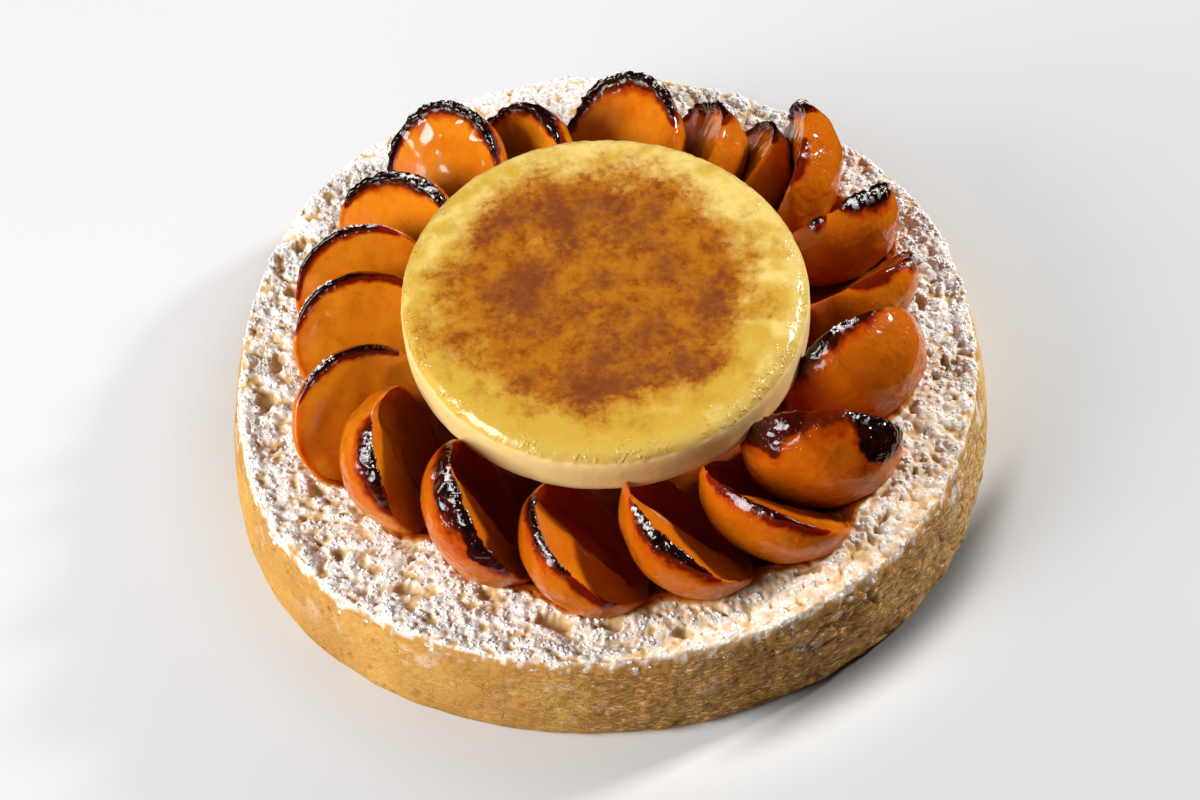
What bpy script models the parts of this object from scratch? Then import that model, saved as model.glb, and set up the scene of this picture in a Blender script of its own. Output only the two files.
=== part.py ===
"""Apricot tart: a baked shell, an almond filling, a ring of roasted apricot halves and a custard disc.

Metres, +Z up. The origin is on the table under the middle of the tart. The front is towards -Y.
"""
import math
from collections import namedtuple

import bmesh
import bpy
from mathutils import Matrix, Vector, noise

# The shell: a short pastry case, wider near its foot than at its lip.
SHELL_RADIUS = 0.100
SHELL_HEIGHT = 0.0297
SHELL_BASE = 0.0044
SHELL_SIDES = 96
# Outside of the wall as (radius against SHELL_RADIUS, height against SHELL_HEIGHT), then its lip.
SHELL_OUTSIDE = ((0.984, 0.0), (1.006, 0.04), (1.016, 0.15), (1.011, 0.37), (1.001, 0.60), (0.990, 0.80),
                 (0.977, 0.93), (0.960, 1.0))
# Inner face of the wall: its radius at the base and at the lip, and how far under the lip it starts.
INSIDE_FOOT = 0.0968
INSIDE_LIP = 0.0936
LIP_DROP = 0.0008
# Relief as (height, length of a bump): crags on the wall, waves along the lip.
WALL_CRAGS = (0.00035, 0.009)
LIP_WAVES = (0.0004, 0.025)
# The baked ring isn't a true circle: (waves round the ring, depth, place of the first crest in degrees).
LOBES = ((3, 0.0105, -18.0), (4, 0.0078, 38.0), (5, 0.0022, 7.0), (6, 0.0032, 26.0))

# The filling: a porous almond crumb, with a bed that the fruit sits in and a middle that holds the disc.
CRUMB_HEIGHT = 0.0292
CRUMB_BUMPS = ((0.0008, 0.008, 2.0), (0.0008, 0.018, 6.0))
# Rings of the crumb, as shares of the way from the bank to the shell.
CRUMB_RINGS = (0.3, 0.65, 1.0)
BED_HEIGHT = 0.0215
BED_RADIUS = 0.052
MIDDLE_RADIUS = 0.029
MIDDLE_FOOT = 0.036
# The bank from the bed up to the crumb: (distance outside the fruit's edge, share of the rise).
BANK = ((-0.0091, 0.0), (-0.0035, 0.376), (0.0005, 1.0))
# Where the fruit's edge is looked for, from the outside in, and in what steps.
EDGE_FROM = 0.090
EDGE_TO = 0.070
EDGE_STEP = 0.0005
# Pieces that touch keep this much apart.
GAP = 0.0003
# Larger holes in the crumb: (angle in degrees, distance from the middle, radius, depth).
HOLES = ((184, 0.0885, 0.0040, 0.0045), (232, 0.0870, 0.0030, 0.0030), (258, 0.0840, 0.0042, 0.0040),
         (303, 0.0865, 0.0030, 0.0028), (206, 0.0840, 0.0028, 0.0028), (150, 0.0915, 0.0026, 0.0028))

# The apricots: roasted halves that stand on edge in a ring, each in the hollow of the one before it.
# Depth of a half against its radius, its rim's width and how proud the rim is.
HALF_DEPTH = 0.78
HALF_RIM = 0.0026
RIM_RISE = 0.0009
RIM_CUT_RISE = 0.0014
RIM_INSIDE = 0.0006
HALF_SIDES = 16
# Rings of the skin, as degrees from the rim to the pole.
SKIN_BANDS = (0.0, 24.0, 47.0, 70.0)
# Rings of the cut face and the stone hollow: (share of the radius, depth under the rim), then the middle.
HOLLOW_BANDS = ((0.66, 0.0024), (0.57, 0.0038), (0.44, 0.0062), (0.24, 0.0075))
HOLLOW_DEPTH = 0.0079
# Bumps of the skin: (height, length). How far a swelling of the rim reaches along it, in degrees.
HALF_UNEVEN = (0.0006, 0.016)
EDGE_REACH = 30.0
# angle: where it stands, anticlockwise from +X. reach: middle of its rim from the tart's middle.
# height: middle of its rim above the table. lean: how far the rim tips up. turn: how far the hollow
# faces inwards. radius: of the rim. edge: where the rim swells or shrinks, as (place round the rim from
# its outer side, how far). Degrees and metres.
Half = namedtuple("Half", "angle reach height lean turn radius edge", defaults=((),))
HALVES = (Half(8, 0.0652, 0.0373, 38, 18, 0.0207),
          Half(26, 0.0702, 0.0383, 31, -2, 0.0214, ((80, 0.0028), (20, -0.0024))),
          Half(43, 0.0701, 0.0385, 22, 32, 0.0212), Half(54, 0.0655, 0.0345, 38, 8, 0.0194),
          Half(66, 0.0655, 0.0353, 36, 8, 0.0204, ((32, -0.0030),)), Half(82, 0.0660, 0.0368, 47, 30, 0.0206),
          Half(107, 0.0625, 0.0350, 32, 12, 0.0196), Half(124, 0.0704, 0.0385, 40, 2, 0.0203),
          Half(144, 0.0642, 0.0360, 31, 0, 0.0197), Half(162, 0.0632, 0.0365, 35, 16, 0.0204),
          Half(176, 0.0615, 0.0364, 35, 5, 0.0199), Half(199, 0.0654, 0.0371, 35, 7, 0.0200),
          Half(214, 0.0632, 0.0383, 20, 46, 0.0198), Half(240, 0.0622, 0.0386, 28, 40, 0.0208),
          Half(264, 0.0660, 0.0374, 44, 20, 0.0202), Half(286, 0.0662, 0.0376, 43, 12, 0.0202),
          Half(306, 0.0690, 0.0368, 43, 15, 0.0206), Half(323, 0.0666, 0.0374, 16, 32, 0.0215),
          Half(346, 0.0658, 0.0372, 4, 40, 0.0207))

# The disc: set custard, its top edge rounded, lying on the fruit and the middle of the filling.
DISC_RADIUS = 0.0524
DISC_THICKNESS = 0.0146
DISC_TOP = 0.0596
DISC_CENTRE = (0.0014, -0.0030)
DISC_TIP = 2.0
DISC_ROUND = 0.0036
# The rounded top edge is drawn at these degrees, and the bottom edge has a small bevel.
DISC_ARC = (90.0, 60.0, 30.0, 0.0)
DISC_BEVEL = 0.0012
# Rings of the top as shares of the radius, and how far the top swells in the middle.
DISC_FLAT = (0.42, 0.78)
DISC_SWELL = 0.0004
# Its outline isn't quite round: (waves, depth, phase in radians).
DISC_WAVES = ((2, 0.008, 1.2), (3, 0.006, -0.6))
DISC_SIDES = 64

# What a cut leaves is cleaned up to this size.
SLIVER = 0.00012


def waves_of(angle, waves):
    """A factor round 1 for an outline that isn't a true circle."""
    return 1.0 + sum(depth * math.cos(count * angle + phase) for count, depth, phase in waves)


def lobes(angle):
    """How much wider than a circle the tart is at an angle in radians."""
    return waves_of(angle, [(count, depth, -count * math.radians(crest)) for count, depth, crest in LOBES])


def polar(radius, angle, height):
    return Vector((radius * math.cos(angle), radius * math.sin(angle), height))


def uneven(point, relief, seed):
    """Smooth relief of a given (height, length of a bump); each seed gives other bumps."""
    height, length = relief
    swing = 1.6
    return height * swing * noise.noise(point / length + seed * Vector((1.0, 3.1, -1.7)))


def closed_mesh(name, rings, first, last):
    """A skin over rings of equal length, closed at both ends by a point."""
    mesh = bmesh.new()
    loops = [[mesh.verts.new(point) for point in ring] for ring in rings]
    count = len(loops[0])
    for lower, upper in zip(loops, loops[1:]):
        for i in range(count):
            j = (i + 1) % count
            mesh.faces.new((lower[i], lower[j], upper[j], upper[i]))
    for loop, point in ((loops[0], first), (loops[-1], last)):
        tip = mesh.verts.new(point)
        for i in range(count):
            mesh.faces.new((loop[i], loop[(i + 1) % count], tip))
    bmesh.ops.triangulate(mesh, faces=mesh.faces[:])
    bmesh.ops.recalc_face_normals(mesh, faces=mesh.faces[:])
    data = bpy.data.meshes.new(name)
    mesh.to_mesh(data)
    mesh.free()
    part = bpy.data.objects.new(name, data)
    bpy.context.collection.objects.link(part)
    return part


def painted(part, colour, roughness, smooth_angle=40.0):
    material = bpy.data.materials.new(part.name)
    material.use_nodes = True
    shader = material.node_tree.nodes["Principled BSDF"]
    shader.inputs["Base Color"].default_value = (*colour, 1.0)
    shader.inputs["Roughness"].default_value = roughness
    shader.inputs["Metallic"].default_value = 0.0
    part.data.materials.clear()
    part.data.materials.append(material)
    part.data.shade_smooth()
    part.data.set_sharp_from_angle(angle=math.radians(smooth_angle))
    return part


def angles(count):
    return [2.0 * math.pi * i / count for i in range(count)]


def shell_inside(height):
    """Radius of the wall's inner face, before the lobes, at a height."""
    return INSIDE_FOOT + (INSIDE_LIP - INSIDE_FOOT) * (height - SHELL_BASE) / (SHELL_HEIGHT - SHELL_BASE)


def make_shell():
    around = angles(SHELL_SIDES)
    crag_seed, lip_seed = 4.0, 9.0
    rings = []
    for radius, height in SHELL_OUTSIDE:
        ring = []
        for angle in around:
            point = polar(SHELL_RADIUS * radius * lobes(angle), angle, SHELL_HEIGHT * height)
            if height > 0.0:
                point += polar(1.0, angle, 0.0) * uneven(point, WALL_CRAGS, crag_seed)
                point.z += height * uneven(point, LIP_WAVES, lip_seed)
            ring.append(point)
        rings.append(ring)
    for height in (SHELL_HEIGHT - LIP_DROP, SHELL_BASE):
        rings.append([polar(shell_inside(height) * lobes(angle), angle, height) for angle in around])
    return closed_mesh("crust", rings, Vector((0, 0, 0)), Vector((0, 0, SHELL_BASE)))


def half_frame(half):
    """Middle of the rim, the way that the hollow opens, and two directions in the rim's plane."""
    angle, lean, turn = (math.radians(value) for value in (half.angle, half.lean, half.turn))
    outwards = Vector((math.cos(angle), math.sin(angle), 0.0))
    along = Vector((-math.sin(angle), math.cos(angle), 0.0))
    level = math.cos(turn) * along - math.sin(turn) * outwards
    opening = math.cos(lean) * level + math.sin(lean) * Vector((0, 0, 1))
    side = level.cross(Vector((0, 0, 1)))
    up = side.cross(opening)
    return half.reach * outwards + Vector((0, 0, half.height)), opening, side, up


def swelling(half, angle):
    """How far the rim stands out past its circle at an angle round it."""
    total = 0.0
    for place, push in half.edge:
        away = (math.degrees(angle) - place + 180.0) % 360.0 - 180.0
        total += push * math.exp(-((away / EDGE_REACH) ** 2))
    return total


def half_ring(half, radius, depth, seed, bumps=1.0):
    """One ring of a half: a circle that its swellings and the fruit's own unevenness move out and in."""
    centre, opening, side, up = half_frame(half)
    ring = []
    for angle in angles(HALF_SIDES):
        spoke = math.cos(angle) * side + math.sin(angle) * up
        reach = radius + swelling(half, angle) * (radius / half.radius) ** 2
        point = centre + reach * spoke - depth * opening
        ring.append(point + bumps * spoke * uneven(point, HALF_UNEVEN, seed))
    return ring


def skin_rings(half, radius, deep, seed, bumps):
    """The skin of a half, from the ring nearest its pole to the rim."""
    slopes = [math.radians(band) for band in reversed(SKIN_BANDS)]
    return [half_ring(half, radius * math.cos(turn), deep * math.sin(turn), seed, bumps) for turn in slopes]


def make_half(name, half, seed):
    """A half: the skin from its pole to the rim, the cut face, and the stone hollow to its middle."""
    deep = HALF_DEPTH * half.radius
    rings = skin_rings(half, half.radius, deep, seed, 1.0)
    rings.append(half_ring(half, half.radius - 0.4 * HALF_RIM, -RIM_RISE, seed, bumps=1.6))
    rings.append(half_ring(half, half.radius - HALF_RIM, RIM_INSIDE, seed))
    for share, depth in HOLLOW_BANDS:
        rings.append(half_ring(half, share * half.radius, depth, seed))
    centre, opening = half_frame(half)[:2]
    return closed_mesh(name, rings, centre - deep * opening, centre - HOLLOW_DEPTH * opening)


def half_cutter(half, grow):
    """The whole bulk of a half, a little larger, to press its neighbour back."""
    deep = HALF_DEPTH * half.radius + grow
    rings = skin_rings(half, half.radius + grow, deep, 0.0, 0.0)
    rings.append(half_ring(half, half.radius - 0.3 * HALF_RIM, -RIM_CUT_RISE, 0.0, bumps=0.0))
    centre, opening = half_frame(half)[:2]
    return closed_mesh("cutter", rings, centre - deep * opening, centre + RIM_CUT_RISE * opening)


def in_half(half, point):
    """Whether a point lies within the bulk of a half."""
    centre, opening, side, up = half_frame(half)
    offset = point - centre
    depth = -offset.dot(opening) / (HALF_DEPTH * half.radius)
    across = math.hypot(offset.dot(side), offset.dot(up)) / half.radius
    return depth > 0.0 and math.hypot(across, depth) < 1.0


def fruit_edge(angle):
    """How far from the middle the fruit stands out of the crumb at an angle."""
    radius = EDGE_FROM
    while radius > EDGE_TO and not any(in_half(half, polar(radius, angle, CRUMB_HEIGHT)) for half in HALVES):
        radius -= EDGE_STEP
    return radius


def crumb_relief(point):
    """Bumps and holes of the crumb's top, in metres above or below its even height."""
    height = sum(uneven(point, (bump, length), seed) for bump, length, seed in CRUMB_BUMPS)
    for angle, distance, radius, depth in HOLES:
        away = (point.xy - polar(distance, math.radians(angle), 0.0).xy).length / radius
        height -= depth * math.exp(-2.0 * away * away)
    return height


def filling_rings(lift):
    """Rings of the filling's top, from the middle out; lift raises them for the cutter."""
    around = angles(SHELL_SIDES)
    edges = [fruit_edge(angle) for angle in around]
    edges = [(edges[i - 1] + edges[i] + edges[(i + 1) % SHELL_SIDES]) / 3.0 for i in range(SHELL_SIDES)]
    middle_top = disc_underside() - GAP
    rings = []
    for radius, height in ((MIDDLE_RADIUS, middle_top), (MIDDLE_FOOT, BED_HEIGHT), (BED_RADIUS, BED_HEIGHT)):
        rings.append([polar(radius, angle, height + lift) for angle in around])
    for step, rise in BANK:
        height = BED_HEIGHT + rise * (CRUMB_HEIGHT - BED_HEIGHT)
        rings.append([polar(edge + step, angle, height + lift) for angle, edge in zip(around, edges)])
    wall = shell_inside(CRUMB_HEIGHT) - GAP
    for share in CRUMB_RINGS:
        ring = []
        for angle, edge in zip(around, edges):
            start = edge + BANK[-1][0]
            point = polar(start + share * (wall * lobes(angle) - start), angle, CRUMB_HEIGHT)
            relief = crumb_relief(point)
            if share == CRUMB_RINGS[-1]:
                relief = min(0.0, 0.5 * relief)
            point.z += relief + lift
            ring.append(point)
        rings.append(ring)
    return rings, middle_top + lift


def make_filling():
    rings, top = filling_rings(0.0)
    foot = SHELL_BASE + GAP
    radius = shell_inside(foot) - GAP
    rings.append([polar(radius * lobes(angle), angle, foot) for angle in angles(SHELL_SIDES)])
    return closed_mesh("almond_filling", rings, Vector((0, 0, top)), Vector((0, 0, foot)))


def filling_cutter():
    rings, top = filling_rings(GAP + SLIVER)
    rings.append([polar(SHELL_RADIUS, angle, 0.0) for angle in angles(SHELL_SIDES)])
    return closed_mesh("cutter", rings, Vector((0, 0, top)), Vector((0, 0, 0)))


def disc_underside():
    """Height of the lowest point of the disc above the filling's middle."""
    slope = math.tan(math.radians(DISC_TIP))
    return DISC_TOP - DISC_THICKNESS - slope * (MIDDLE_RADIUS + abs(DISC_CENTRE[1]))


def disc_mesh(name, grow):
    """The disc as rings from the middle of its top round to the middle of its underside."""
    radius = DISC_RADIUS + grow
    top = grow
    bottom = -DISC_THICKNESS - grow
    profile = [(share * radius, top + DISC_SWELL * (1.0 - share * share)) for share in DISC_FLAT]
    for degrees in DISC_ARC:
        turn = math.radians(degrees)
        inwards, down = 1.0 - math.cos(turn), 1.0 - math.sin(turn)
        profile.append((radius - DISC_ROUND * inwards, top - DISC_ROUND * down))
    profile += [(radius, 0.5 * bottom), (radius, bottom + DISC_BEVEL), (radius - DISC_BEVEL, bottom)]
    tip = Matrix.Translation((*DISC_CENTRE, DISC_TOP)) @ Matrix.Rotation(math.radians(DISC_TIP), 4, "X")
    outline = [(angle, waves_of(angle, DISC_WAVES)) for angle in angles(DISC_SIDES)]
    rings = []
    for reach, height in profile:
        rings.append([tip @ polar(reach * wave, angle, height) for angle, wave in outline])
    return closed_mesh(name, rings, tip @ Vector((0, 0, top + DISC_SWELL)), tip @ Vector((0, 0, bottom)))


def cut(part, cutters):
    """Take the cutters out of a part and keep the largest piece that is left."""
    for cutter in cutters:
        cutter.hide_render = True
        cutter.display_type = "WIRE"
        modifier = part.modifiers.new("fit", "BOOLEAN")
        modifier.operation = "DIFFERENCE"
        modifier.object = cutter
    graph = bpy.context.evaluated_depsgraph_get()
    mesh = bmesh.new()
    mesh.from_mesh(part.evaluated_get(graph).to_mesh())
    part.modifiers.clear()
    bmesh.ops.remove_doubles(mesh, verts=mesh.verts[:], dist=SLIVER)
    bmesh.ops.dissolve_degenerate(mesh, edges=mesh.edges[:], dist=SLIVER)
    bmesh.ops.triangulate(mesh, faces=mesh.faces[:])
    keep_largest(mesh)
    bmesh.ops.holes_fill(mesh, edges=[edge for edge in mesh.edges if edge.is_boundary])
    bmesh.ops.triangulate(mesh, faces=mesh.faces[:])
    bmesh.ops.recalc_face_normals(mesh, faces=mesh.faces[:])
    mesh.to_mesh(part.data)
    mesh.free()


def keep_largest(mesh):
    """Drop the scraps that a cut leaves beside the main body."""
    left = set(mesh.faces)
    bodies = []
    while left:
        stack = [left.pop()]
        body = set(stack)
        while stack:
            for edge in stack.pop().edges:
                for face in edge.link_faces:
                    if face in left:
                        left.remove(face)
                        body.add(face)
                        stack.append(face)
        bodies.append(body)
    bodies.sort(key=lambda body: sum(face.calc_area() for face in body))
    scraps = [face for body in bodies[:-1] for face in body]
    bmesh.ops.delete(mesh, geom=scraps, context="FACES")


def make_apricots():
    filling = filling_cutter()
    disc = disc_mesh("cutter", GAP)
    cutters = [half_cutter(half, 2.0 * GAP + HALF_UNEVEN[0]) for half in HALVES]
    for index, half in enumerate(HALVES):
        part = make_half(f"apricot_{index + 1:02d}", half, float(index + 1))
        following = [cutters[(index + step) % len(HALVES)] for step in (1, 2)]
        cut(part, following + [filling, disc])
        painted(part, (0.80, 0.24, 0.02), 0.22, smooth_angle=60.0)
    for cutter in cutters + [filling, disc]:
        bpy.data.objects.remove(cutter)


for old in list(bpy.data.objects):
    bpy.data.objects.remove(old)
painted(make_shell(), (0.62, 0.36, 0.14), 0.75)
painted(make_filling(), (0.86, 0.76, 0.62), 0.90)
make_apricots()
painted(disc_mesh("custard_disc", 0.0), (0.86, 0.56, 0.14), 0.35)
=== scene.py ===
"""Apricot tart: shortcrust, sugared almond crumb, roasted apricot halves and a browned custard disc."""

import math

import bpy
import numpy as np
from mathutils import Matrix, Vector


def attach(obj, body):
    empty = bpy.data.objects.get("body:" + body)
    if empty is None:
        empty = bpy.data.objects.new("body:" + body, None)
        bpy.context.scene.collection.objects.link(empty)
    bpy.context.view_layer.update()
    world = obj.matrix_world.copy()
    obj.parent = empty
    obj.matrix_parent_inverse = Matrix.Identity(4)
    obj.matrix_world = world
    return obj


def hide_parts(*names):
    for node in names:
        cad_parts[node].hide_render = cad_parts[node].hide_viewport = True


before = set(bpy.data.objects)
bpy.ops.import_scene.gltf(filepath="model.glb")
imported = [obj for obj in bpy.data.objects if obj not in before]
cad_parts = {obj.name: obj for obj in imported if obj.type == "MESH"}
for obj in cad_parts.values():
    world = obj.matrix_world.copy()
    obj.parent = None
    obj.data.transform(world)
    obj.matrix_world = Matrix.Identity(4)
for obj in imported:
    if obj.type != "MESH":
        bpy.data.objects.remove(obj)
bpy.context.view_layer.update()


# ---- The crust -----------------------------------------------------------------------------------
# A shortcrust case: butter, flour and sugar, pressed by hand into a ring and baked golden. Its wall is
# matt and finely cracked, more deeply at the front right, and its lip is browned under icing sugar.

CRUST_RADIUS = 0.100
CRUST_HEIGHT = 0.0297
CRUST_SIDES = 120
# Outside of the wall as (radius against CRUST_RADIUS, height against CRUST_HEIGHT), foot to lip.
CRUST_OUTSIDE = ((0.975, 0.0), (0.992, 0.004), (1.006, 0.045), (1.016, 0.16), (1.012, 0.36), (1.002, 0.58),
                 (0.993, 0.77), (0.980, 0.92), (0.962, 1.0))
CRUST_LIP_INSIDE = 0.0933
CRUST_INSIDE_FOOT = 0.0968
CRUST_BASE = 0.0044
# The wall's outer face starts at this radius, before the lobes, and its lip at this share of the height.
CRUST_FACE = 0.0945
LIP_FOOT = 0.86
# Under the crumb the lip is lower, up to the first radius, and free from the second one on.
LIP_SUNK, LIP_FREE, LIP_SINK = 0.0972, 0.0982, 0.0013
LIP_LUMPS = 0.0013
# Heights of the wall's relief, in metres.
SWELLS, GRAIN, FLAKES, LAYERS, FINE_LAYERS = 0.00038, 0.00022, 0.00075, 0.00036, 0.00016
PITS, CREVICES, CRACKS = 0.00035, 0.00026, 0.0007
# The ring isn't a true circle: (waves round it, depth, place of the first crest in degrees).
LOBES = ((3, 0.0105, -18.0), (4, 0.0078, 38.0), (5, 0.0022, 7.0), (6, 0.0032, 26.0))
# Where round the wall the cracks are deepest, in degrees anticlockwise from +X.
ROUGH_SIDE = -52.0
# Where round the wall painted light makes it paler, on the side that the back-right lamp lights.
LAMP_SIDE = 2.0
CRUST_GOLD = (0.48, 0.230, 0.040)
CRUST_PALE = (0.62, 0.335, 0.074)
# Painted light on the lamp-lit side of the wall.
CRUST_PAINTED_LIGHT = (0.80, 0.54, 0.20)
CRUST_BROWN = (0.30, 0.115, 0.022)
CRUST_RUST = (0.36, 0.135, 0.035)
CRACK_BROWN = (0.17, 0.060, 0.012)
SUGAR_WHITE = (0.885, 0.86, 0.83)


def turned(name, sides, profile):
    """A body turned from a profile of (radius, height), each of its ends closed by a flat face."""
    bpy.ops.object.select_all(action="DESELECT")
    radius, height = profile[0]
    bpy.ops.mesh.primitive_circle_add(vertices=sides, radius=radius, fill_type="NGON", location=(0, 0, height))
    bpy.ops.object.transform_apply(location=True, rotation=False, scale=False)
    piece = bpy.context.object
    piece.name = name
    bpy.ops.object.mode_set(mode="EDIT")
    for (radius, height), (next_radius, next_height) in zip(profile, profile[1:]):
        bpy.ops.mesh.extrude_region_move(TRANSFORM_OT_translate={"value": (0, 0, next_height - height)})
        share = next_radius / radius
        bpy.ops.transform.resize(value=(share, share, 1.0), center_override=(0, 0, next_height))
    bpy.ops.mesh.select_all(action="SELECT")
    bpy.ops.mesh.normals_make_consistent(inside=False)
    bpy.ops.object.mode_set(mode="OBJECT")
    return piece


def pick(piece):
    bpy.ops.object.select_all(action="DESELECT")
    bpy.context.view_layer.objects.active = piece
    piece.select_set(True)


def finished_by(piece, kind, **settings):
    """Put one modifier on a piece and apply it."""
    modifier = piece.modifiers.new("shape", kind)
    for name, value in settings.items():
        setattr(modifier, name, value)
    pick(piece)
    bpy.ops.object.modifier_apply(modifier=modifier.name)
    return piece


def refined(piece, levels):
    return finished_by(piece, "SUBSURF", levels=levels, render_levels=levels, use_limit_surface=False)


def vectors_of(rows, name):
    found = np.empty(3 * len(rows))
    rows.foreach_get(name, found)
    return found.reshape(-1, 3)


def points_of(piece):
    return vectors_of(piece.data.vertices, "co")


def normals_of(piece):
    return vectors_of(piece.data.vertex_normals, "vector")


def set_points(piece, points):
    piece.data.vertices.foreach_set("co", points.ravel())
    piece.data.update()


def marked(piece, **marks):
    """Keep numbers on a piece's points, for its finish to read."""
    for name, values in marks.items():
        attribute = piece.data.attributes.new(name, "FLOAT", "POINT")
        attribute.data.foreach_set("value", values.astype(np.float32))


def angles_of(points):
    return np.arctan2(points[:, 1], points[:, 0])


def radius_of(points):
    return np.hypot(points[:, 0], points[:, 1])


def lobes(angles):
    """How much wider than a circle the tart is at angles in radians."""
    waves = [depth * np.cos(count * (angles - math.radians(crest))) for count, depth, crest in LOBES]
    return 1.0 + sum(waves)


def blend(low, high, values):
    """0 below low, 1 above high, and smooth between them."""
    share = np.clip((values - low) / (high - low), 0.0, 1.0)
    return share * share * (3.0 - 2.0 * share)


def chances(cells, seed):
    """Three even random numbers from 0 to 1 for each whole-numbered cell."""
    x, y, z = np.moveaxis(cells.astype(np.int64), -1, 0)
    mixed = x * 73856093 ^ y * 19349663 ^ z * 83492791 ^ seed * 40503
    found = []
    for _ in range(3):
        mixed = (mixed ^ (mixed >> 15)) * 2246822519 & 0xFFFFFFFF
        mixed = (mixed ^ (mixed >> 13)) * 3266489917 & 0xFFFFFFFF
        found.append((mixed ^ (mixed >> 16)) / 2.0 ** 32)
    return np.stack(found, axis=-1)


def waviness(points, length, seed):
    """Smooth noise, about -1 to 1, whose bumps are one length apart."""
    scaled = points / length
    cells = np.floor(scaled)
    inside = scaled - cells
    share = inside ** 3 * (inside * (inside * 6.0 - 15.0) + 10.0)
    total = np.zeros(len(points))
    for corner in np.ndindex(2, 2, 2):
        slopes = 2.0 * chances(cells + corner, seed) - 1.0
        weight = np.prod(np.where(corner, share, 1.0 - share), axis=1)
        total += weight * ((inside - corner) * slopes).sum(axis=1)
    return 1.7 * total


def rippled(points, *waves):
    """Smooth noises added up, each as (height, length, seed)."""
    return sum(height * waviness(points, length, seed) for height, length, seed in waves)


def drift(points, length, *seeds):
    """Smooth noise along each axis, to bend a pattern with."""
    return np.stack([waviness(points, length, seed) for seed in seeds], axis=1)


def nearest(points, length, seed):
    """How far each point is from the nearest and the next of random seeds, in their spacing."""
    scaled = points / length
    cells = np.floor(scaled)
    first = np.full(len(points), 9.0)
    second = first.copy()
    for step in np.ndindex(3, 3, 3):
        corners = cells + step - 1.0
        away = np.linalg.norm(corners + chances(corners, seed) - scaled, axis=1)
        second = np.minimum(second, np.maximum(first, away))
        first = np.minimum(first, away)
    return first, second


def domes(points, length, seed):
    """Round lumps with creases between them, from 0 in a crease to 1 on a top."""
    return 1.0 - np.minimum(nearest(points, length, seed)[0], 1.0) ** 2


def crumb_lumps(points):
    """Lumps of crumb and sugar, 0 to 1, a little taller on the right."""
    share = blend(-0.25, 0.55, points[:, 0] / radius_of(points))
    warped = points + 0.0009 * drift(points, 0.0026, 3, 4, 5)
    left = 0.50 * domes(warped, 0.0034, 11) + 0.33 * domes(warped, 0.0016, 12)
    right = 0.55 * domes(warped, 0.0034, 13) + 0.32 * domes(warped, 0.0016, 14)
    return (1.0 - share) * left + share * right + 0.07 * (waviness(points, 0.0011, 15) + 1.0)


class Socket:
    """A value in a finish. Arithmetic on it adds Math nodes."""

    def __init__(self, finish, output):
        self.finish = finish
        self.output = output

    def maths(self, operation, *values):
        return self.finish.node("ShaderNodeMath", {"operation": operation}, dict(enumerate(values)))

    def __add__(self, other):
        return self.maths("ADD", self, other)

    def __sub__(self, other):
        return self.maths("SUBTRACT", self, other)

    def __rsub__(self, other):
        return self.maths("SUBTRACT", other, self)

    def __mul__(self, other):
        return self.maths("MULTIPLY", self, other)

    def __abs__(self):
        return self.maths("ABSOLUTE", self)

    __radd__ = __add__
    __rmul__ = __mul__


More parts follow.
